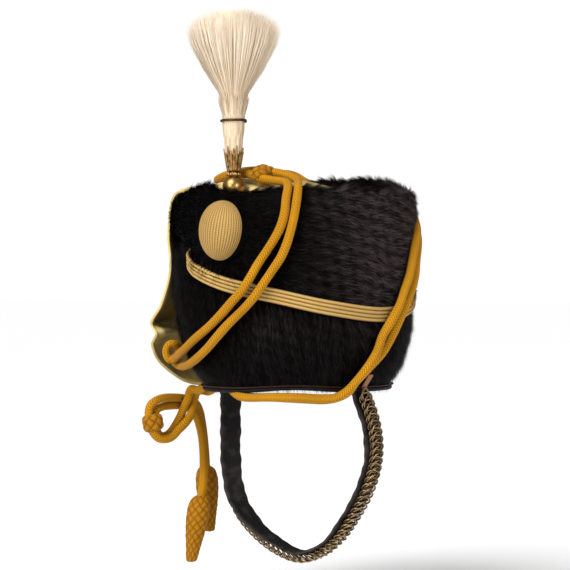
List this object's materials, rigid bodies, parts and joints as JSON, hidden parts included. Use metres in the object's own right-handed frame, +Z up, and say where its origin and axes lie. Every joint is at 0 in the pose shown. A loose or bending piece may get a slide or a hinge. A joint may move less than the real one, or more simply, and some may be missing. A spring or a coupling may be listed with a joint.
{
  "type": "busby",
  "caption": "Fur busby with a cloth bag, woven cockade, horsehair plume, cap lines with acorns, and a leather chin strap faced with chain.",
  "frame": {"origin": "centre of the head opening, in the plane of the rim's underside, where a head holds the hat", "axes": "+Z up through the crown; -Y the front, where the cockade and plume are; +X the wearer's left, with the bag at -X"},
  "size_m": [0.2699, 0.2656, 0.5096],
  "materials": {
    "fur": "short dense black fur",
    "binding_leather": "worn black leather",
    "welt_leather": "thin brown leather edge",
    "bag_cloth": "buff wool cloth",
    "braid": "straw-coloured worsted braid",
    "line_cord": "golden-yellow worsted cord",
    "horsehair": "white horsehair",
    "brass": "antique brass",
    "chain_brass": "dull tarnished brass",
    "dark_wire": "dark tarnished wire",
    "strap_leather": "black leather",
    "tan_leather": "worn tan leather"
  },
  "bodies": {
    "root": {"fur_body": "fur", "sweatband": "binding_leather", "rim_welt": "welt_leather", "bag": "bag_cloth", "band": "braid", "cockade": "braid", "plume": "horsehair", "plume_tie": "dark_wire", "plume_cup": "brass", "plume_ball": "brass", "cap_line_front": "line_cord", "cap_line_rear": "line_cord", "crown_slide": "line_cord", "lower_slide": "line_cord", "line_coil": "line_cord", "acorn_front": "line_cord", "acorn_rear": "line_cord", "chin_strap": "strap_leather", "chin_chain": "chain_brass", "right_hook": "dark_wire", "right_ring": "dark_wire", "left_tab": "tan_leather", "left_link": "chain_brass"}
  },
  "joints": []
}
